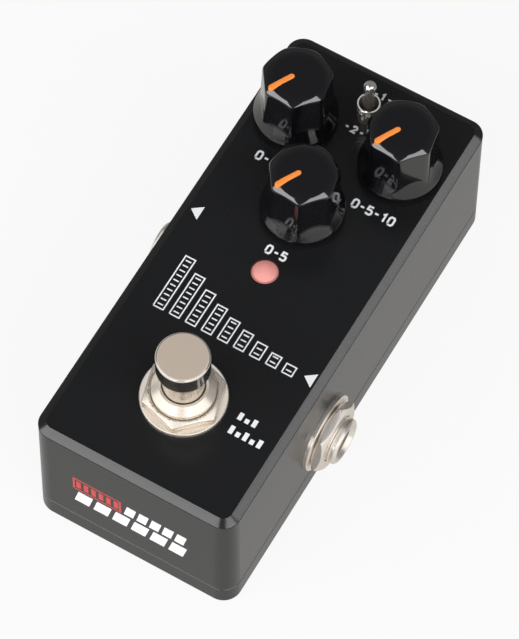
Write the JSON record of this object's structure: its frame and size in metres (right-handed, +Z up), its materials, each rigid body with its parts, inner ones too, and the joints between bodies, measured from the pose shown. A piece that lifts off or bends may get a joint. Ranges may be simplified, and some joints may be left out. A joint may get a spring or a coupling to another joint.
{
  "type": "delay pedal",
  "caption": "Small metal delay pedal: slim box with facet knobs, toggle lever, lit lamp, push foot switch, side jacks and a rear power socket.",
  "frame": {"origin": "middle of the box's footprint, on the surface it stands on", "axes": "+X to the right jack, +Y to the rear edge with the power socket, +Z up out of the panel"},
  "size_m": [0.0502, 0.0948, 0.0481],
  "materials": {
    "body_paint": "satin",
    "knob_plastic": "gloss",
    "pointer_plastic": "satin",
    "nickel": "polished",
    "steel": "satin",
    "lens": "gloss",
    "resin": "matte",
    "board": "satin",
    "contact": "satin",
    "can": "satin"
  },
  "bodies": {
    "case": {"enclosure": "body_paint", "bottom_cover": "body_paint", "pot_nuts": "nickel", "toggle_bush": "nickel", "foot_bush": "nickel", "foot_nut": "nickel", "foot_washer": "nickel", "input_jack_bush": "nickel", "input_jack_nut": "nickel", "input_jack_washer": "nickel", "output_jack_bush": "nickel", "output_jack_nut": "nickel", "output_jack_washer": "nickel", "power_socket_pin": "nickel", "cover_screws": "steel", "pot_washers": "steel", "lamp_leads": "steel", "foot_lock_nut": "steel", "foot_spring": "steel", "board_screws": "steel", "left_pot_case": "steel", "right_pot_case": "steel", "centre_pot_case": "steel", "lamp_lens": "lens", "toggle_case": "resin", "foot_case": "resin", "input_jack_case": "resin", "output_jack_case": "resin", "power_socket_case": "resin", "chips": "resin", "header_socket": "resin", "header_plug": "resin", "control_board": "board", "main_board": "board", "left_pot_base": "contact", "right_pot_base": "contact", "centre_pot_base": "contact", "toggle_pins": "contact", "foot_terminals": "contact", "input_jack_contact": "contact", "output_jack_contact": "contact", "power_socket_terminals": "contact", "header_pins": "contact", "capacitors": "can"},
    "left_knob": {"left_knob": "knob_plastic", "left_pointer": "pointer_plastic", "left_shaft": "nickel"},
    "right_knob": {"right_knob": "knob_plastic", "right_pointer": "pointer_plastic", "right_shaft": "nickel"},
    "centre_knob": {"centre_knob": "knob_plastic", "centre_pointer": "pointer_plastic", "centre_shaft": "nickel"},
    "toggle_lever": {"toggle_lever": "nickel"},
    "foot_button": {"foot_button": "nickel"}
  },
  "joints": [
    {"name": "left_knob_turn", "type": "hinge", "parent": "case", "child": "left_knob", "pos_m": [-0.0114, 0.0311, 0.0322], "axis": [0, 0, -1], "range_deg": [0, 300]},
    {"name": "right_knob_turn", "type": "hinge", "parent": "case", "child": "right_knob", "pos_m": [0.0104, 0.0311, 0.0322], "axis": [0, 0, -1], "range_deg": [0, 300]},
    {"name": "centre_knob_turn", "type": "hinge", "parent": "case", "child": "centre_knob", "pos_m": [-0.0005, 0.0145, 0.0322], "axis": [0, 0, -1], "range_deg": [0, 300]},
    {"name": "toggle_tilt", "type": "hinge", "parent": "case", "child": "toggle_lever", "pos_m": [0, 0.0378, 0.032], "axis": [1, 0, 0], "range_deg": [-11, 11]},
    {"name": "foot_press", "type": "slide", "parent": "case", "child": "foot_button", "axis": [0, 0, -1], "range_m": [0, 0.0025], "stiffness_N_per_m": 4000, "springref_m": -0.003, "deforming": ["foot_spring"]}
  ]
}
